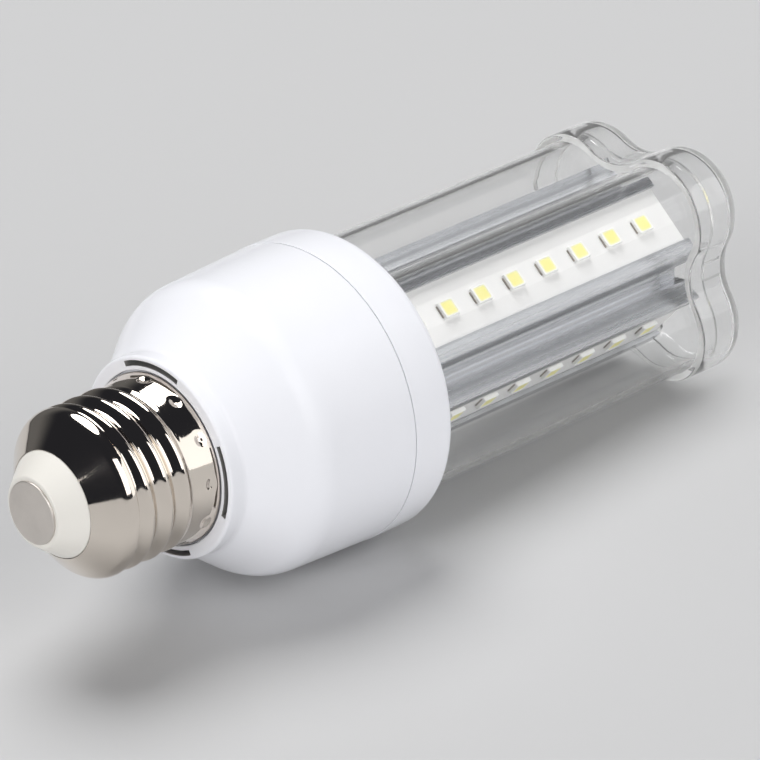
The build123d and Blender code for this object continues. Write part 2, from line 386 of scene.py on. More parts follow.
@dataclass(frozen=True)
class Block:
    """A block with rounded upright edges and eased ends. Sizes in millimetres.

    Attributes:
        size: Its two section sizes.
        corner: Radius of its upright edges, three times the ease of its ends.
        finish: Number of its finish.
    """

    size: Pair
    corner: float = 0.25
    finish: int = 0

    def grid(self, axis: Axis, middle: float, low: float, high: float) -> Grid:
        """One rounded rectangle carried from one station to another.

        Args:
            axis: Direction that it is carried along.
            middle: How far across the axis its middle lies.
            low: Its first station.
            high: Its last station.

        Returns:
            The closed surface.
        """
        seat = replace(axis, origin=axis.origin + middle * axis.across)
        ease = self.corner / 3
        rows = (
            (low, 2 * ease, self.corner - ease), (low + ease, 0.0, self.corner),
            (high - ease, 0.0, self.corner), (high, 2 * ease, self.corner - ease))
        return Grid(stack(seat, self.size, rows), capped=True, finish=self.finish)


# Finishes


def feed(tree: Tree, target: bpy.types.Node, inputs: dict[Any, Any]) -> None:
    """Joins or sets the inputs of a node.

    Args:
        tree: That the node belongs to.
        target: The node.
        inputs: By socket, the output to join to it or the constant to set on it.
    """
    for socket, value in inputs.items():
        if isinstance(value, Socket):
            tree.links.new(value, target.inputs[socket])
        else:
            target.inputs[socket].default_value = value


def add_node(tree: Tree, kind: str, inputs: dict[Any, Any] | None = None, **settings: Any) -> Any:
    """Makes a shader node.

    Args:
        tree: That it belongs to.
        kind: Of the node.
        inputs: By socket, the output to join to it or the constant to set on it.
        settings: Of the node itself.

    Returns:
        Its output sockets.
    """
    made = tree.nodes.new(f"ShaderNode{kind}")
    for name, value in settings.items():
        setattr(made, name, value)
    feed(tree, made, inputs or {})
    return made.outputs


def add_math(tree: Tree, operation: str, *values: Any) -> Socket:
    """Makes a node that works out one number from sockets or constants."""
    return add_node(tree, "Math", dict(enumerate(values)), operation=operation)[0]


def add_range(tree: Tree, value: Socket, span: Pair, **settings: str) -> Socket:
    """Makes a node that spreads a span of a value over zero to one."""
    ends = {"Value": value, "From Min": span[0], "From Max": span[1]}
    return add_node(tree, "MapRange", ends, **settings)["Result"]


def opaque(colour: Triple) -> tuple[float, ...]:
    """The colour with full cover."""
    return (*colour, 1.0)


def surface_drift(name: str = "surface_drift", middle: Pair = (0.32, 0.68)) -> Tree:
    """Node group for how a surface drifts over its area: colour, roughness and fine height.

    A broad noise mixes two colours and two roughness values, and a fine noise of the same
    coordinates adds to the roughness and gives the height.

    Args:
        name: Of the group.
        middle: Part of the broad noise that is spread over the whole range.

    Returns:
        The group, made once.
    """
    if name in bpy.data.node_groups:
        return bpy.data.node_groups[name]
    group = bpy.data.node_groups.new(name, "ShaderNodeTree")
    sockets = {
        "INPUT": {"Vector": "Vector", "Fine Scale": "Float", "Colour": "Color", "Shade": "Color",
                  "Smooth": "Float", "Rough": "Float"},
        "OUTPUT": {"Colour": "Color", "Roughness": "Float", "Height": "Float"},
    }
    for direction, rows in sockets.items():
        for label, kind in rows.items():
            group.interface.new_socket(
                name=label, in_out=direction, socket_type=f"NodeSocket{kind}")
    entry = group.nodes.new("NodeGroupInput").outputs
    leave = group.nodes.new("NodeGroupOutput")
    broad = add_node(group, "TexNoise", {"Vector": entry["Vector"], "Scale": 1.0, "Detail": 4.0})
    fine = add_node(group, "TexNoise", {
        "Vector": entry["Vector"], "Scale": entry["Fine Scale"], "Detail": 3.0})
    spread = add_range(group, broad["Fac"], middle)
    tint = add_node(group, "Mix", {
        "Factor": spread, "A": entry["Colour"], "B": entry["Shade"]}, data_type="RGBA")
    half = add_math(group, "MULTIPLY", fine["Fac"], 0.5)
    both = add_math(group, "MULTIPLY_ADD", spread, 0.5, half)
    rough = add_node(group, "MapRange", {
        "Value": both, "To Min": entry["Smooth"], "To Max": entry["Rough"]})
    feed(group, leave, {
        "Colour": tint["Result"], "Roughness": rough["Result"], "Height": fine["Fac"]})
    return group


@dataclass(frozen=True)
class Finish:
    """A surface with a drifting colour and roughness and a fine relief.

    Attributes:
        name: Of the material.
        colour: Main colour, linear.
        shade: Colour that it drifts to.
        smooth: Lowest roughness.
        rough: Highest roughness.
        grain: Pattern repeats per millimetre along, across and up the bulb.
        fine: How much finer the relief is than the drift.
        relief: Height of the relief in millimetres.
        metallic: One for bare metal.
        specular: Level of the surface's plain reflection.
    """

    name: str
    colour: Triple
    shade: Triple
    smooth: float
    rough: float
    grain: Triple = (0.08, 0.08, 0.08)
    fine: float = 12.0
    relief: float = 0.01
    metallic: float = 0.0
    specular: float = 0.5

    def drift(self, tree: Tree, place: Socket) -> Any:
        """The shared drift in a material, joined to its shader.

        Args:
            tree: Of the material.
            place: Socket of the coordinates.

        Returns:
            The drift's output sockets.
        """
        drift = add_node(tree, "Group", {
            "Vector": place, "Fine Scale": self.fine,
            "Colour": opaque(self.colour), "Shade": opaque(self.shade),
            "Smooth": self.smooth, "Rough": self.rough}, node_tree=surface_drift())
        feed(tree, tree.nodes["Principled BSDF"], {
            "Base Color": drift["Colour"], "Roughness": drift["Roughness"],
            "Metallic": self.metallic, "Specular IOR Level": self.specular})
        return drift

    def material(self, axis: Axis) -> Material:
        """The material, made once, in object coordinates turned to the bulb's axis.

        Args:
            axis: The bulb's axis, which the pattern follows.

        Returns:
            The node-based material.
        """
        if self.name in bpy.data.materials:
            return bpy.data.materials[self.name]
        material = bpy.data.materials.new(self.name)
        material.use_nodes = True
        material.diffuse_color = opaque(self.colour)
        tree = material.node_tree
        turned = add_node(tree, "Mapping", {
            "Vector": add_node(tree, "TexCoord")["Object"], "Rotation": (0.0, -axis.dip, 0.0)})
        scaled = add_node(tree, "Mapping", {
            "Vector": turned["Vector"], "Scale": tuple(value / MM for value in self.grain)})
        bump = add_node(tree, "Bump", {
            "Strength": 1.0, "Distance": self.relief * MM,
            "Height": self.drift(tree, scaled["Vector"])["Height"]})
        feed(tree, tree.nodes["Principled BSDF"], {"Normal": bump["Normal"]})
        return material


@dataclass(frozen=True)
class ClearFinish(Finish):
    """Clear moulded plastic that lets light through to what it covers.

    Attributes:
        index: Refractive index.
        haze: Share of the pale haze at a grazing angle.
        haze_index: Refractive index that spreads the haze.
        haze_colour: Of the haze, linear.
    """

    index: float = 1.38
    haze: float = 0.44
    haze_index: float = 1.2
    haze_colour: Triple = (0.86, 0.86, 0.85)

    def material(self, axis: Axis) -> Material:
        """The material: refracting to the eye, and see-through to the light of the lamps.

        A pale haze grows towards grazing angles and on edges that reflect from inside.

        Args:
            axis: The bulb's axis, which the ripples follow.

        Returns:
            The node-based material.
        """
        if self.name in bpy.data.materials:
            return bpy.data.materials[self.name]
        material = super().material(axis)
        tree = material.node_tree
        shader = tree.nodes["Principled BSDF"]
        feed(tree, shader, {"Transmission Weight": 1.0, "IOR": self.index})
        grazing = add_node(tree, "Fresnel", {"IOR": self.haze_index})["Fac"]
        pale = add_node(tree, "BsdfDiffuse", {"Color": opaque(self.haze_colour)})
        hazed = add_node(tree, "MixShader", {
            "Fac": add_math(tree, "MULTIPLY", grazing, self.haze),
            1: shader.outputs["BSDF"], 2: pale["BSDF"]})
        clear = add_node(tree, "BsdfTransparent", {"Color": opaque(self.colour)})
        path = add_node(tree, "LightPath")
        lit = add_math(tree, "MAXIMUM", path["Is Shadow Ray"], path["Is Diffuse Ray"])
        mix = add_node(tree, "MixShader", {"Fac": lit, 1: hazed["Shader"], 2: clear["BSDF"]})
        feed(tree, tree.nodes["Material Output"], {"Surface": mix["Shader"]})
        return material


FINISHES = {finish.name: finish for finish in (
    Finish("flat_nickel", (0.70, 0.655, 0.61), (0.65, 0.61, 0.57), 0.34, 0.5,
           grain=(0.2, 0.2, 0.2), fine=16.0, relief=0.006, metallic=1.0),
    Finish("cream_plastic", (0.84, 0.815, 0.765), (0.81, 0.785, 0.73), 0.3, 0.45, relief=0.008),
    Finish("polished_nickel", (0.79, 0.725, 0.65), (0.75, 0.685, 0.615), 0.03, 0.09,
           grain=(0.12, 0.12, 0.12), fine=9.0, relief=0.004, metallic=1.0),
    Finish("glossy_white_plastic", (0.89, 0.895, 0.935), (0.875, 0.882, 0.922), 0.17, 0.25,
           grain=(0.05, 0.05, 0.05), fine=20.0, relief=0.004, specular=0.24),
    # Dark grey painted shade for the vents in the housing's neck, in place of the dark inside of
    # an open vent.
    Finish("vent_painted_shade", (0.40, 0.39, 0.38), (0.34, 0.333, 0.325), 0.5, 0.65),
    ClearFinish("clear_moulding", (0.992, 0.993, 0.992), (0.992, 0.993, 0.992), 0.0, 0.006,
                grain=(0.015, 0.12, 0.12), fine=2.0, relief=0.0006),
    Finish("drawn_aluminium", (0.65, 0.66, 0.685), (0.41, 0.42, 0.44), 0.19, 0.34,
           grain=(0.002, 0.75, 0.75), fine=1.6, relief=0.008, metallic=1.0),
    Finish("white_solder_mask", (0.90, 0.893, 0.882), (0.875, 0.868, 0.857), 0.34, 0.46,
           grain=(0.1, 0.16, 0.16), fine=14.0, relief=0.012),
    Finish("board_core_edge", (0.46, 0.46, 0.45), (0.38, 0.38, 0.37), 0.4, 0.55, metallic=1.0),
    Finish("chip_body_white", (0.94, 0.935, 0.91), (0.92, 0.915, 0.89), 0.35, 0.45),
    Finish("phosphor_gel", (0.985, 0.915, 0.30), (0.985, 0.925, 0.37), 0.35, 0.5,
           grain=(0.6, 0.6, 0.6), fine=10.0),
    Finish("gel_edge", (0.97, 0.93, 0.49), (0.97, 0.93, 0.55), 0.35, 0.5,
           grain=(0.6, 0.6, 0.6), fine=10.0),
    # Metal of the chips' tabs, darkened brown as painted shade.
    Finish("terminal_metal_painted_shade", (0.38, 0.34, 0.29), (0.28, 0.25, 0.21), 0.25, 0.45,
           grain=(0.8, 0.8, 0.8), metallic=1.0),
    Finish("green_solder_mask", (0.03, 0.16, 0.07), (0.025, 0.13, 0.055), 0.3, 0.45,
           grain=(0.2, 0.2, 0.2)),
    Finish("shrink_sleeve", (0.03, 0.035, 0.05), (0.02, 0.025, 0.035), 0.25, 0.4),
    Finish("dipped_epoxy", (0.42, 0.06, 0.03), (0.36, 0.045, 0.025), 0.25, 0.4, relief=0.03),
    Finish("ferrite", (0.05, 0.05, 0.052), (0.03, 0.03, 0.032), 0.5, 0.7, relief=0.03),
    Finish("moulded_package", (0.02, 0.02, 0.021), (0.015, 0.015, 0.016), 0.45, 0.6),
    Finish("cement_coat", (0.30, 0.33, 0.32), (0.25, 0.28, 0.27), 0.5, 0.65, relief=0.02),
    Finish("red_insulation", (0.46, 0.03, 0.025), (0.40, 0.025, 0.02), 0.35, 0.5),
    Finish("black_insulation", (0.02, 0.02, 0.02), (0.03, 0.03, 0.03), 0.35, 0.5),
    Finish("white_insulation", (0.76, 0.76, 0.74), (0.70, 0.70, 0.68), 0.35, 0.5),
)}


# Sub-assemblies


@dataclass
class Assembly:
    """A part of the bulb. Sizes in millimetres.

    A field named path is a profile: rows of station, of radius or growth of the tube's outline,
    and of the radius that rounds the corner.

    Attributes:
        axis: The bulb's axis.
        nodes: CAD nodes by name.
        outline: Outline of the tube's outside.
    """

    axis: Axis
    nodes: dict[str, Object]
    outline: Ring

    def build(self) -> None:
        """Builds and dresses the pieces."""
        raise NotImplementedError

    def stand_for(
        self, node: str, name: str, slot: Slot, grids: Sequence[Grid], finishes: Sequence[str],
        edge: Edge = Edge.SOFT,
    ) -> None:
        """Makes a piece of grids and sets it on the bulb's body in place of a CAD node.

        Args:
            node: CAD node that it replaces.
            name: Of the piece.
            slot: Record slot that its finish belongs to; not used.
            grids: Its surfaces.
            finishes: Names of its finishes, in the order of the grids' finish numbers.
            edge: How sharp an edge has to be to show.
        """
        points, faces, marks, count = [], [], [], 0
        for grid in grids:
            quads, fans, numbers = grid.faces(count)
            points.append(grid.vertices())
            faces += quads.tolist() + fans.tolist()
            marks.append(numbers)
            count += len(points[-1])
        mesh = bpy.data.meshes.new(name)
        mesh.from_pydata(np.concatenate(points).tolist(), [], faces)
        for finish in finishes:
            mesh.materials.append(FINISHES[finish].material(self.axis))
        mesh.polygons.foreach_set("material_index", np.concatenate(marks).astype(np.int32))
        mesh.polygons.foreach_set("use_smooth", np.ones(len(faces), bool))
        mesh.set_sharp_from_angle(angle=math.radians(edge.value))
        mesh.update()
        piece = add_object(name, mesh)
        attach(piece, BODY)
        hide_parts(node)
        LOG.info("%s: %d faces", piece.name, len(faces))

    def dress(self, node: str, finish: str) -> None:
        """Gives a CAD node one finish.

        Args:
            node: Name of the frame's own solid.
            finish: Name of its finish.
        """
        materials = self.nodes[node].data.materials
        materials.clear()
        materials.append(FINISHES[finish].material(self.axis))
        LOG.info("%s: dressed as %s", node, finish)


@dataclass
class ScrewBase(Assembly):
    """Centre contact, insulator and threaded shell.

    Attributes:
        lip_lean: How far the inner edge of the lip stands back, against the bend's own shift.
        crest_turn: Angle at which the first crest lies, in degrees.
        thread_rise: Where the thread begins and ends its rise, from its start.
        dimple_stretch: Square of a dimple's length round the skirt over its length along it.
    """

    contact_path: Path = (
        (0.0, 1.0, 0), (0.0, 4.9, 0.16), (0.35, 4.9, 0.05), (0.35, 1.5, 0),
        (5.15, 1.5, 0.2), (5.15, 0.4, 0))
    insulator_path: Path = (
        (0.35, 1.6, 0), (0.35, 5.5, 0.45), (4.05, 8.3, 0.3), (4.45, 8.3, 0),
        (5.75, 9.6, 0.2), (7.45, 9.6, 0.2), (7.45, 1.6, 0))
    lip_station: float = 4.05
    lip_radius: float = 8.4
    lip_lean: float = 2.4
    sheet: float = 0.4
    crest: float = 13.15
    root: float = 12.0
    pitch: float = 3.629
    first_crest: float = 9.19
    crest_turn: float = 268.0
    cone_top: float = 8.1
    cone_bend: float = 2.6
    cone_steps: int = 12
    thread_start: float = 9.2
    thread_rise: Pair = (-0.2, 1.2)
    thread_end: float = 20.7
    run_out: float = 1.7
    skirt_radius: float = 12.65
    skirt_flare: float = 0.8
    skirt_end: float = 24.8
    dimple_station: float = 23.35
    dimple_count: int = 12
    dimple_depth: float = 0.34
    dimple_size: float = 0.55
    dimple_stretch: float = 1.9
    turns: int = 324
    thread_rows: int = 120

    def build(self) -> None:
        """Builds and dresses the three pieces.

        The contact is a flat disc with an eased rim and a rivet stem behind it. The insulator is
        a cone round it with a softly bent rim, and a flange behind the shell's lip.
        """
        contact, insulator = (
            self.axis.turned(*rounded_path(path).T, self.turns)
            for path in (self.contact_path, self.insulator_path))
        self.stand_for("centre_contact", "contact_disc", Slot.CONTACT,
                       (Grid(contact, capped=True),), ("flat_nickel",))
        self.stand_for("base_insulator", "insulator_cone", Slot.INSULATOR,
                       (Grid(insulator, closed=True),), ("cream_plastic",))
        self.shell()

    def thread_radius(self, station: Array) -> Array:
        """Outside radius of the rolled thread, the flared skirt and its dimples.

        The thread is a right-hand helix: crest - depth * (0.5 - 0.5 cos(whole turns)), where the
        turns are the station less the helix's advance over the pitch. It rises out of the front
        shoulder and runs out by smooth steps into the skirt, which widens evenly. A dimple is a
        bell-shaped dent.

        Args:
            station: Stations, one per row.

        Returns:
            Radii in rows and turns.
        """
        angle = np.linspace(0, FULL_TURN, self.turns, endpoint=False)
        rows = station[:, None]
        lead = angle - math.radians(self.crest_turn)
        wave = FULL_TURN * (rows - self.first_crest) / self.pitch - lead
        low, high = (self.thread_start + rise for rise in self.thread_rise)
        depth = (self.crest - self.root) * smooth_step(rows, low, high)
        radius = self.crest - depth * (0.5 - 0.5 * np.cos(wave))
        radius = radius + (self.skirt(rows) - radius) * self.past_thread(rows)
        beside = off_middle(angle, FULL_TURN / self.dimple_count)
        round_reach = (beside * self.skirt_radius) ** 2 / self.dimple_stretch
        reach = round_reach + (rows - self.dimple_station) ** 2
        return radius - self.dimple_depth * np.exp(-reach / self.dimple_size**2)

    def past_thread(self, rows: Array) -> Array:
        """Zero on the thread and one on the skirt, with a smooth step over the run-out."""
        return smooth_step(rows, self.thread_end - self.run_out, self.thread_end)

    def skirt(self, rows: Array) -> Array:
        """Outside radius of the skirt: its first radius plus the flare's share of its length."""
        share = np.clip((rows - self.thread_end) / (self.skirt_end - self.thread_end), 0, 1)
        return self.skirt_radius + self.skirt_flare * share

    def shoulder(self, inset: float) -> Array:
        """Profile of the shell's shoulder: a cone from the lip that bends into the crest radius.

        Args:
            inset: How far inside the outer surface it lies.

        Returns:
            Rows of station and radius.
        """
        lean = inset * math.tan(QUARTER_TURN / 4)
        return rounded_path((
            (self.lip_station + self.lip_lean * lean, self.lip_radius, 0),
            (self.cone_top + lean, self.crest - inset, self.cone_bend - inset),
            (self.thread_start, self.crest - inset, 0)), steps=self.cone_steps)

    def shell(self) -> None:
        """Rolled shell, one sheet thick: a conical shoulder, the thread and a dimpled skirt.

        The inside follows the outside one sheet in, and stays plain behind the dimples.
        """
        front, inner_front = self.shoulder(0.0), self.shoulder(self.sheet)[::-1]
        station, inner_station = (
            np.linspace(self.thread_start, self.skirt_end, rows)[1:]
            for rows in (self.thread_rows, self.thread_rows // 2))
        inner = self.thread_radius(inner_station) - self.sheet
        rows = inner_station[:, None]
        inner = inner + (self.skirt(rows) - self.sheet - inner) * self.past_thread(rows)
        wide = np.ones(self.turns)
        stations = np.concatenate((front[:, 0], station, inner_station[::-1], inner_front[:, 0]))
        radii = np.concatenate((
            front[:, 1:] * wide, self.thread_radius(station), inner[::-1],
            inner_front[:, 1:] * wide))
        grid = Grid(self.axis.turned(stations, radii, self.turns), closed=True)
        self.stand_for("screw_shell", "threaded_shell", Slot.SHELL, (grid,), ("polished_nickel",))


@dataclass
class DriverHousing(Assembly):
    """White housing with a vented neck, and the lid that holds the tube.

    Attributes:
        vent_radii: Inner and outer radius of the vents, which are rows of the housing's path.
        vent_half_span: Angle from a vent's middle to its end, in degrees.
        below: Rib, clip and clip's nose on each side under the lid: the block, how far out it
            is, and its first and last station.
    """

    housing_path: Path = (
        (22.4, 10.55, 0), (22.4, 12.35, 0.2), (25.8, 12.35, 0), (25.8, 13.7, 0),
        (24.8, 13.7, 0.2), (24.8, 14.37, 0), (24.8, 14.4, 0), (24.8, 15.2, 0), (24.8, 15.23, 0),
        (24.8, 15.9, 0.55), (27.545, 15.9, 1.6), (37.1, 23.1, 7.8), (54.9, 23.815, 0.08),
        (54.9, 20.815, 0), (37.7, 20.815, 0.8), (37.7, 10.55, 0))
    housing_steps: int = 16
    vent_radii: Pair = (14.4, 15.2)
    vent_count: int = 4
    vent_half_span: float = 22.5
    vent_depth: float = 4.0
    turns: int = 720
    rim_path: Path = (
        (55.02, 4.0, 0), (55.02, 23.865, 0.08), (63.1, 23.865, 1.7), (63.1, 22.0, 0))
    rim_steps: int = 10
    socket_path: Path = ((63.1, 0.9, 0), (63.1, 0.1, 0.3), (56.6, 0.1, 0))
    socket_steps: int = 6
    below: tuple[tuple[Block, float, float, float], ...] = (
        (Block((2.0, 26.0)), 11.736, 53.3, 54.9),
        (Block((1.6, 6.0)), 15.936, 50.4, 54.9),
        (Block((2.4, 6.0)), 15.536, 50.4, 51.6))

    def build(self) -> None:
        """Builds and dresses both pieces."""
        self.housing()
        self.lid()

    def housing(self) -> None:
        """Housing: a rounded profile turned about the axis, with curved vents sunk into its neck.

        Rows of the neck's face that lie between the vent's two radii move down by the vent's depth
        at the turns within its span, and every face with a moved corner takes a dark grey that is
        painted shade, standing for the dark inside of an open vent.
        """
        station, radius = np.hsplit(rounded_path(self.housing_path, self.housing_steps), 2)
        turn = np.linspace(0, 360, self.turns, endpoint=False)
        off = np.abs(off_middle(turn, 360 / self.vent_count))
        inner, outer = self.vent_radii
        sunk = (radius > inner - TINY) & (radius < outer + TINY) & (off < self.vent_half_span)
        # Faces of the sunk vents take finish 1, the dark grey painted shade.
        beside = sunk | np.roll(sunk, -1, axis=1)
        finish = (beside | np.roll(beside, -1, axis=0)).astype(int)
        points = self.axis.turned(station + self.vent_depth * sunk, radius, self.turns)
        grid = Grid(points, closed=True, finish=finish)
        self.stand_for("driver_housing", "housing_shell", Slot.HOUSING, (grid,),
                       ("glossy_white_plastic", "vent_painted_shade"))

    def lid(self) -> None:
        """Lid: a turned rim whose top face runs into the lobed socket, with ribs and clips below.

        The outside rows are circles seen at the bearings of the socket's points, and the inside
        rows are the tube's outline grown by the gap, so one grid covers both.
        """
        outer = rounded_path(self.rim_path, self.rim_steps)
        inner = rounded_path(self.socket_path, self.socket_steps)
        circles = outer[:, 1, None, None] * unit(self.outline.points)
        flat = np.concatenate((circles, self.outline.grown(inner[:, 1])))
        stations = np.concatenate((outer[:, :1], inner[:, :1]))
        grids = [Grid(self.axis.place(stations, flat), capped=True)]
        for side in (-1, 1):
            for block, out, low, high in self.below:
                grids.append(block.grid(self.axis, side * out, low, high))
        self.stand_for("housing_lid", "housing_lid_ring", Slot.HOUSING, grids,
                       ("glossy_white_plastic",))


@dataclass
class ClearCover(Assembly):
    """Clear lobed tube and the cap over its end.

    Attributes:
        tube_rows: Station and growth of the outline, along the outside and back inside.
        stop_span: Stations of the stops, from the tube's end to the cap's floor.
        stop_growth: Growth of a stop and of the wall that it stands on.
    """

    tube_rows: tuple[Pair, ...] = (
        (56.6, -0.12), (56.72, 0.0), (126.88, 0.0), (127.0, -0.12),
        (127.0, -0.88), (126.88, -1.0), (56.72, -1.0), (56.6, -0.88))
    cap_path: Path = (
        (131.2, -5.0, 0), (131.2, 0.1, 1.2), (127.0, 0.1, 0), (126.98, 0.1, 0),
        (123.0, 0.1, 0.15), (123.0, 1.3, 0.4), (132.5, 1.3, 2.4), (132.5, -5.0, 0))
    cap_steps: int = 9
    stop_span: Pair = (127.0, 131.2)
    stop_growth: Pair = (-1.0, 0.1)
    stop_width: float = 3.0

    def build(self) -> None:
        """Builds and dresses both pieces: the tube is its rows carried along the axis."""
        station, grow = np.hsplit(np.array(self.tube_rows), 2)
        grid = Grid(self.axis.place(station, self.outline.grown(grow)), closed=True)
        self.stand_for(
            "clear_tube", "tube_clear", Slot.CLEAR, (grid,), ("clear_moulding",), Edge.CRISP)
        self.cap()

    def cap(self) -> None:
        """Cap: the outline grown inside and outside, a rounded end, and a stop in each valley.

        Rows run from the middle of the inner face to the rim and back over the outside. A stop is
        where the inner wall comes in by a tube wall at the points within its width of a valley's
        middle, behind the tube's end.
        """
        station, grow = np.hsplit(rounded_path(self.cap_path, self.cap_steps), 2)
        points = self.outline.points
        angle = np.arctan2(points[:, 1], points[:, 0])
        off = off_middle(angle, QUARTER_TURN)
        across = np.linalg.norm(points, axis=-1) * np.sin(off)
        (start, floor), (inside, wall) = self.stop_span, self.stop_growth
        stop = (station >= start - TINY) & (station < floor + TINY)
        stop &= (grow <= wall + TINY) & (grow > inside)
        stop = stop & (np.abs(across) < self.stop_width / 2)
        grow = np.where(stop, np.minimum(grow, inside), grow)
        grid = Grid(self.axis.place(station, self.outline.grown(grow)), capped=True)
        self.stand_for(
            "end_cap", "cap_clear", Slot.CLEAR, (grid,), ("clear_moulding",), Edge.CRISP)


@dataclass
class LightEngine(Assembly):
    """Heat sink, boards, light chips and flat leads.

    Attributes:
        sides: Angles of the four sides, in degrees.
        board_rows: Height above the board's underside, how much narrower, and corner.
        board_bands: Finish of each band between those rows.
        body_rows: Height above the chip's foot, how much narrower than the body, and corner.
        window_rows: The same against the window.
        chip_bands: Finish of each band between those rows.
    """

    sides: tuple[float, ...] = (45.0, 135.0, 225.0, 315.0)
    board_size: Pair = (68.4, 11.0)
    board_thickness: float = 1.0
    board_rows: Path = (
        (0.0, 0.1, 0.45), (0.05, 0.0, 0.5), (0.86, 0.0, 0.5), (0.95, 0.02, 0.49),
        (1.0, 0.12, 0.44))
    board_bands: tuple[int, ...] = (1, 1, 0, 0)
    chips_per_side: int = 8
    chip_height: float = 0.75
    body_size: Pair = (3.1, 2.8)
    body_rows: Path = (
        (0.02, 0.1, 0.15), (0.08, 0.0, 0.2), (0.68, 0.0, 0.2), (0.75, 0.14, 0.2))
    window_size: Pair = (2.45, 2.4)
    window_rows: Path = (
        (0.75, 0.0, 0.35), (0.70, 0.06, 0.32), (0.705, 0.5, 0.3), (0.71, 0.9, 0.25))
    chip_bands: tuple[int, ...] = (0, 0, 0, 0, 0, 3, 1)
    tab: Block = Block((0.55, 2.1), corner=0.12, finish=2)
    tab_place: float = 1.475
    tab_height: float = 0.22

    def build(self) -> None:
        """Builds the boards and chips, and dresses the heat sink and leads."""
        self.dress("heat_sink", "drawn_aluminium")
        for side, turn in enumerate(self.sides, 1):
            self.board(side, turn)
            self.dress(f"board_leads_{side}", "white_insulation")
            for place in range(1, self.chips_per_side + 1):
                self.chip(f"{side}_{place}", turn)

    def foot(self, node: str, turn: float, height: float) -> Axis:
        """Axis that stands on the foot of a node's box on one side of the bulb.

        Args:
            node: CAD node whose box is centred on the piece.
            turn: Angle of the side, in degrees.
            height: Of the piece, half of which lies below the box's centre.

        Returns:
            The axis, pointing out, with its across along the bulb.
        """
        low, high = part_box(node)
        centre = np.array((low + high) / 2, float) / MM
        axis, angle = self.axis, math.radians(turn)
        out = math.cos(angle) * axis.across + math.sin(angle) * axis.up
        return Axis(centre - out * height / 2, out, axis.along, np.cross(out, axis.along))

    def board(self, side: int, turn: float) -> None:
        """Board: rounded rectangles stacked from its metal underside to the white mask.

        Args:
            side: Number of its side.
            turn: Angle of its side, in degrees.
        """
        node = f"led_board_{side}"
        axis = self.foot(node, turn, self.board_thickness)
        points = stack(axis, self.board_size, self.board_rows)
        grid = Grid(points, capped=True, finish=self.board_bands)
        self.stand_for(node, f"light_board_{side}", Slot.STRIP, (grid,),
                       ("white_solder_mask", "board_core_edge"), Edge.CRISP)

    def chip(self, number: str, turn: float) -> None:
        """Light chip: a white body with eased edges, a sunk phosphor window and two soldered tabs.

        The body is a stack of rounded rectangles that rises, turns in over the lip and drops to
        the window. The tabs are metal coloured dark brown, which paints the shade that they sit
        in.

        Args:
            number: Of its side and its place.
            turn: Angle of its side, in degrees.
        """
        axis = self.foot(f"led_{number}", turn, self.chip_height)
        sizes = [self.body_size] * len(self.body_rows) + [self.window_size] * len(self.window_rows)
        points = stack(axis, sizes, self.body_rows + self.window_rows)
        grids = [Grid(points, capped=True, finish=self.chip_bands)]
        for end in (-1, 1):
            grids.append(self.tab.grid(axis, end * self.tab_place, 0.0, self.tab_height))
        # Finish 2 is the tabs' metal, darkened as painted shade.
        finishes = ("chip_body_white", "phosphor_gel", "terminal_metal_painted_shade", "gel_edge")
        self.stand_for(
            f"led_{number}", f"chip_{number}", Slot.CHIP, grids, finishes, Edge.CRISP)


@dataclass
class Driver(Assembly):
    """Driver board, its parts and its leads, which stay the frame's own solids.

    Attributes:
        finish_of: Finish of each CAD node.
    """

    finish_of: dict[str, str] = field(default_factory=lambda: {
        "driver_board": "green_solder_mask",
        "input_capacitor": "shrink_sleeve",
        "power_inductor": "ferrite",
        "film_capacitor": "dipped_epoxy",
        "bridge_rectifier": "moulded_package",
        "driver_chip": "moulded_package",
        "fuse_resistor": "cement_coat",
        "live_lead": "red_insulation",
        "neutral_lead": "black_insulation",
    })

    def build(self) -> None:
        """Gives each solid its finish."""
        for node, finish in self.finish_of.items():
            self.dress(node, finish)


# Studio


@dataclass(frozen=True)
class Softbox:
    """A soft lamp that looks at the bulb.

    Attributes:
        name: Of the lamp.
        place: Where it stands, in metres.
        size: Its width and height in metres.
        power: In watts.
        shape: Of its face.
    """

    name: str
    place: Triple
    size: Pair
    power: float
    shape: str = "RECTANGLE"

    def light(self, target: Vector) -> Object:
        """Makes the lamp, turned to a point.

        Args:
            target: The point that it looks at.

        Returns:
            The lamp.
        """
        lamp = bpy.data.lights.new(self.name, "AREA")
        lamp.shape = self.shape
        lamp.size, lamp.size_y = self.size
        lamp.energy = self.power
        item = add_object(self.name, lamp)
        item.location = self.place
        item.visible_camera = False
        item.rotation_euler = (target - Vector(self.place)).to_track_quat("-Z", "Y").to_euler()
        return item


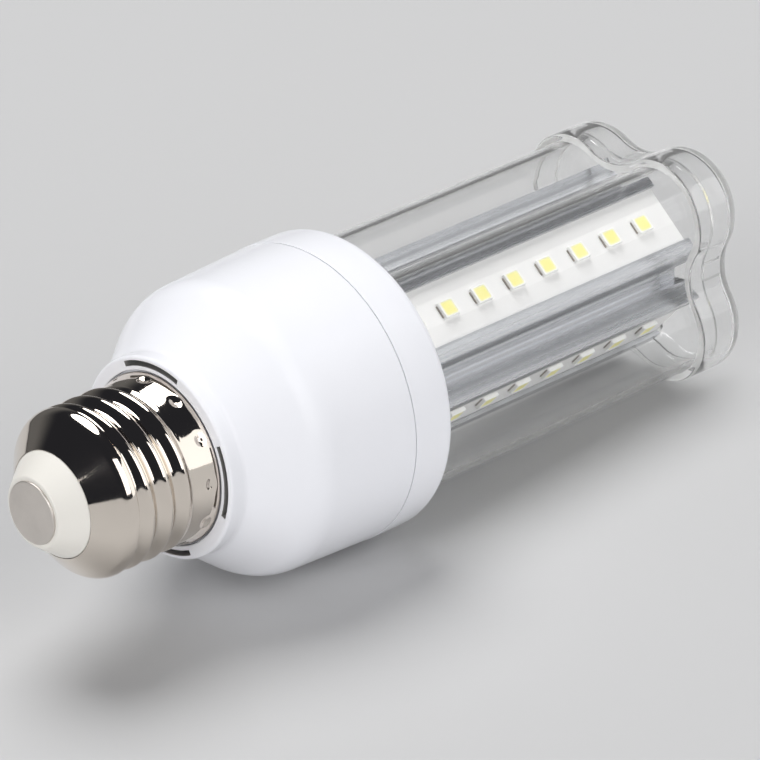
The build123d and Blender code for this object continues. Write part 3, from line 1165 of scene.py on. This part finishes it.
@dataclass
class Studio:
    """Floor, room light, lamps and camera. Sizes in metres, angles in degrees."""

    floor_reach: float = 30.0
    floor_cells: int = 4
    paper: Finish = Finish(
        "floor_paper", (0.575, 0.575, 0.577), (0.56, 0.56, 0.563), 0.75, 0.9,
        fine=30.0, specular=0.15)
    floor_fade: Pair = (0.38, 0.85)
    backdrop: Triple = (0.64, 0.64, 0.642)
    room_pale: Triple = (0.14, 0.14, 0.14)
    room_dim: Triple = (0.021, 0.022, 0.027)
    room_tilt: Triple = (-0.25, -0.40, 0.88)
    room_span: Pair = (-0.22, 0.22)
    target: Triple = (0.00356, 0.0, 0.02009)
    bearing: float = 41.620
    height_angle: float = 26.161
    roll: float = -7.022
    distance: float = 0.8971
    lens: float = 278.93
    sensor: float = 36.0
    clip: Pair = (0.01, 200.0)
    lamps: tuple[Softbox, ...] = (
        Softbox("lamp_over", (0.285, 0.50, 1.63), (1.2, 1.45), 26.0, "ELLIPSE"),
        Softbox("lamp_front", (-0.30, -1.74, 0.94), (1.1, 1.6), 14.0),
        Softbox("lamp_left", (-1.90, -0.10, 0.60), (0.8, 0.8), 18.5),
        Softbox("lamp_right", (1.19, -0.91, 1.34), (0.45, 0.30), 0.6),
        Softbox("lamp_fill", (1.10, -1.55, 0.65), (2.0, 1.5), 13.0),
    )

    def build(self) -> None:
        """Builds the stage."""
        self.room()
        self.floor()
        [lamp.light(Vector(self.target)) for lamp in self.lamps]
        self.camera()

    def floor(self) -> Object:
        """Pale floor: a flat grid that reaches far beyond the picture.

        Returns:
            The floor.
        """
        cells, row = self.floor_cells, self.floor_cells + 1
        side = np.linspace(-self.floor_reach, self.floor_reach, row).tolist()
        points = [(east, north, 0.0) for north in side for east in side]
        corners = [north * row + east for east in range(cells) for north in range(cells)]
        faces = [(at, at + 1, at + row + 1, at + row) for at in corners]
        mesh = bpy.data.meshes.new("studio_floor")
        mesh.from_pydata(points, [], faces)
        mesh.materials.append(self.floor_paper())
        return add_object("studio_floor", mesh)

    def floor_paper(self) -> Material:
        """Matt pale paper whose tone drifts a little.

        Away from the bulb it fades into the plain tone of the backdrop, for the eye alone.

        Returns:
            The node-based material.
        """
        material = bpy.data.materials.new(self.paper.name)
        material.use_nodes = True
        tree = material.node_tree
        shader = tree.nodes["Principled BSDF"]
        place = add_node(tree, "TexCoord")["Object"]
        self.paper.drift(tree, place)
        away = add_node(tree, "VectorMath", {0: place}, operation="LENGTH")["Value"]
        path = add_node(tree, "LightPath")
        seen = add_math(tree, "MAXIMUM", path["Is Camera Ray"], path["Is Transmission Ray"])
        fade = add_range(tree, away, self.floor_fade, interpolation_type="SMOOTHSTEP")
        share = add_math(tree, "MULTIPLY", fade, seen)
        plain = add_node(tree, "Emission", {"Color": opaque(self.backdrop)})
        mix = add_node(tree, "MixShader", {
            "Fac": share, 1: shader.outputs["BSDF"], 2: plain["Emission"]})
        feed(tree, tree.nodes["Material Output"], {"Surface": mix["Shader"]})
        return material

    def room(self) -> None:
        """Room light: pale low behind the bulb, dim overhead, and a plain backdrop to the eye.

        The tone is a smooth step of the direction's dot product with a tilted one, so that it has
        no edges in a reflection.
        """
        world = bpy.data.worlds.new("studio_room")
        bpy.context.scene.world = world
        world.use_nodes = True
        tree = world.node_tree
        dot = add_node(tree, "VectorMath", {
            0: add_node(tree, "TexCoord")["Generated"], 1: self.room_tilt},
            operation="DOT_PRODUCT")["Value"]
        tone = add_node(tree, "Mix", {
            "Factor": add_range(tree, dot, self.room_span, interpolation_type="SMOOTHSTEP"),
            "A": opaque(self.room_pale), "B": opaque(self.room_dim)}, data_type="RGBA")
        shown = add_node(tree, "Mix", {
            "Factor": add_node(tree, "LightPath")["Is Camera Ray"], "A": tone["Result"],
            "B": opaque(self.backdrop)}, data_type="RGBA")
        feed(tree, tree.nodes["Background"], {"Color": shown["Result"]})

    def camera(self) -> None:
        """Camera on a sphere round the target, rolled about its own line of sight."""
        turn, rise, roll = map(math.radians, (self.bearing, self.height_angle, self.roll))
        level = math.cos(rise)
        ahead = Vector((math.sin(turn) * level, math.cos(turn) * level, -math.sin(rise)))
        right = Vector((math.cos(turn), -math.sin(turn), 0.0))
        top = right.cross(ahead)
        side = right * math.cos(roll) + top * math.sin(roll)
        crown = top * math.cos(roll) - right * math.sin(roll)
        lens = bpy.data.cameras.new("studio_camera")
        lens.lens, lens.sensor_width = self.lens, self.sensor
        lens.clip_start, lens.clip_end = self.clip
        camera = add_object("studio_camera", lens)
        place = Vector(self.target) - ahead * self.distance
        turned = Matrix((side, crown, -ahead)).transposed().to_4x4()
        camera.matrix_world = Matrix.Translation(place) @ turned
        bpy.context.scene.camera = camera


def main() -> None:
    """Builds the bulb and its studio in order."""
    logging.basicConfig(level=logging.INFO, format="%(name)s %(message)s")
    for item in list(bpy.data.objects):
        bpy.data.objects.remove(item, do_unlink=True)
    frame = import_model()
    bpy.context.scene.view_settings.view_transform = "Standard"
    parts = (Axis.of_bulb(frame["record"]), frame["nodes"], Lobes().ring())
    for assembly in (ScrewBase, DriverHousing, ClearCover, LightEngine, Driver):
        assembly(*parts).build()
    Studio().build()


if __name__ == "__main__":
    main()
